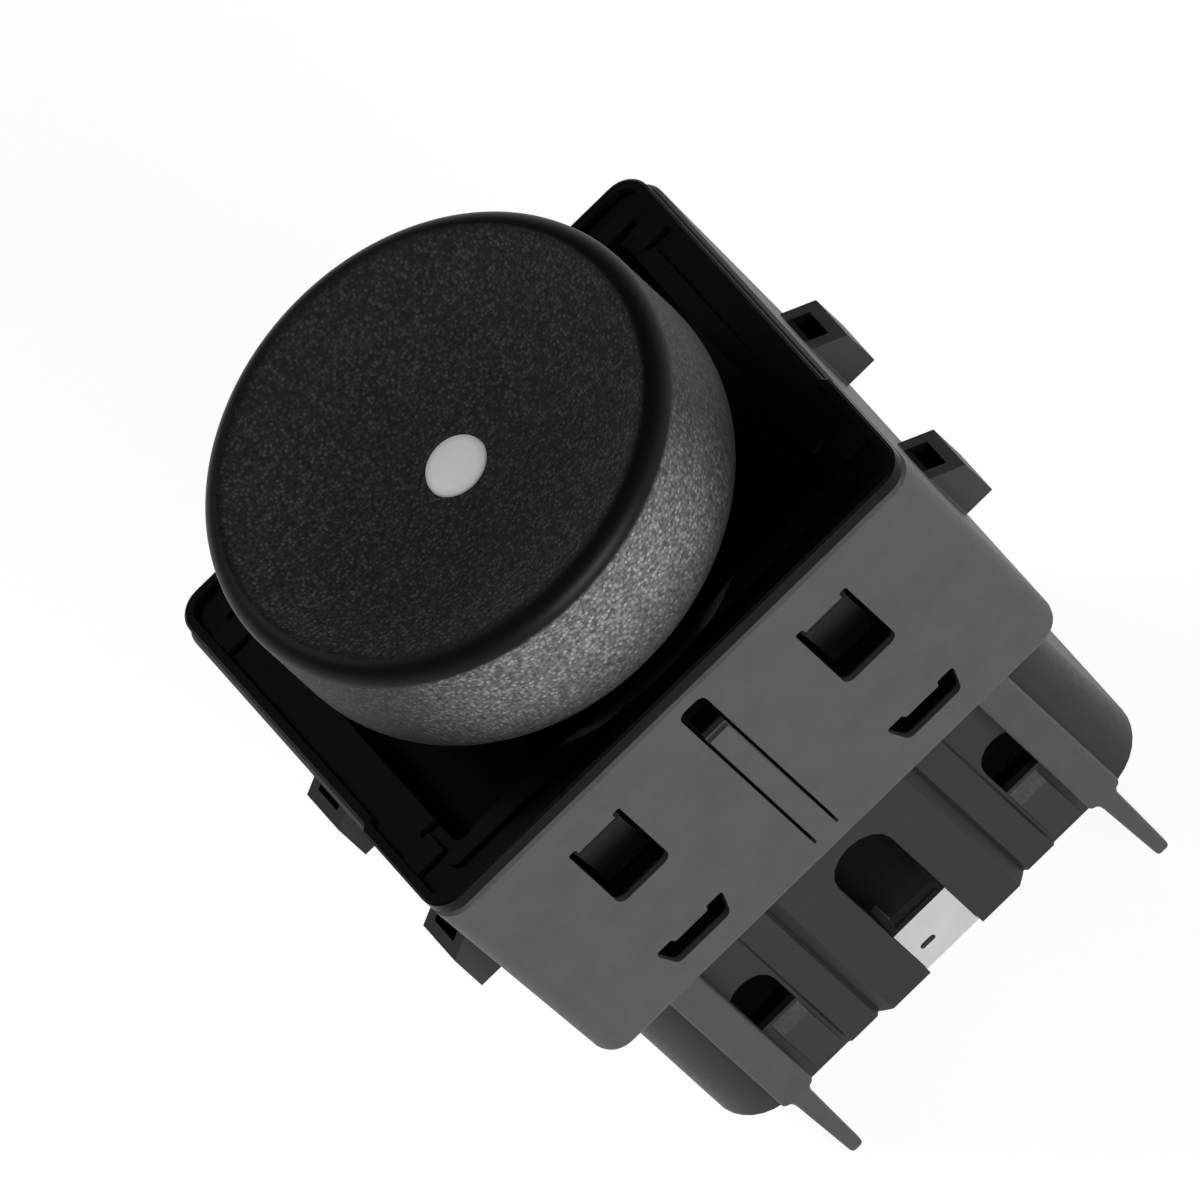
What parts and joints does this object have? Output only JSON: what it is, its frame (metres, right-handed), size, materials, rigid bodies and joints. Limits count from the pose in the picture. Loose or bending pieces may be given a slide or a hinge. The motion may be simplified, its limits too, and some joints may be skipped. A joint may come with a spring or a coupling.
{
  "type": "door lock push switch",
  "caption": "Square snap-in push switch with a large round dished button, a small indicator lens at its centre, and a plug socket underneath.",
  "frame": {"origin": "on the button's axis, in the plane of the housing's top edge, where the switch stands in its panel", "axes": "+Z out of the panel along the button's axis, -Y towards the wall with the tongue and legs, +X to the right seen from there"},
  "size_m": [0.0394, 0.0293, 0.054],
  "materials": {
    "grey_shell": "fine matte moulding",
    "black_gloss": "smooth moulding",
    "black_grained": "fine grain",
    "milky_lens": "milky diffuser",
    "natural_acetal": "smooth moulding",
    "spring_steel": "drawn wire",
    "copper_alloy": "stamped sheet",
    "silver_contact": "satin",
    "black_matte": "matte moulding",
    "board_green": "coated laminate",
    "clear_epoxy": "clear moulding",
    "dark_grey": "smooth moulding",
    "tin_plate": "tin plated"
  },
  "bodies": {
    "housing": {"sleeve_housing": "grey_shell", "bezel_frame": "black_gloss", "return_spring": "spring_steel", "fixed_contact_front_left": "silver_contact", "fixed_contact_front_right": "silver_contact", "fixed_contact_rear_left": "silver_contact", "fixed_contact_rear_right": "silver_contact", "contact_carrier": "black_matte", "circuit_board": "board_green", "indicator_led": "clear_epoxy", "led_resistor": "black_matte", "terminal_base": "dark_grey", "shroud_clip": "tin_plate", "terminal_front_1": "tin_plate", "terminal_front_2": "tin_plate", "terminal_front_3": "tin_plate", "terminal_rear_1": "tin_plate", "terminal_rear_2": "tin_plate", "terminal_rear_3": "tin_plate"},
    "button": {"button_cap": "black_grained", "indicator_lens": "milky_lens", "plunger": "natural_acetal", "contact_bridge_left": "copper_alloy", "contact_bridge_right": "copper_alloy"}
  },
  "joints": [
    {"name": "button_press", "type": "slide", "parent": "housing", "child": "button", "axis": [0, 0, -1], "range_m": [0, 0.0018], "stiffness_N_per_m": 500, "springref_m": -0.004, "deforming": ["return_spring"]}
  ]
}
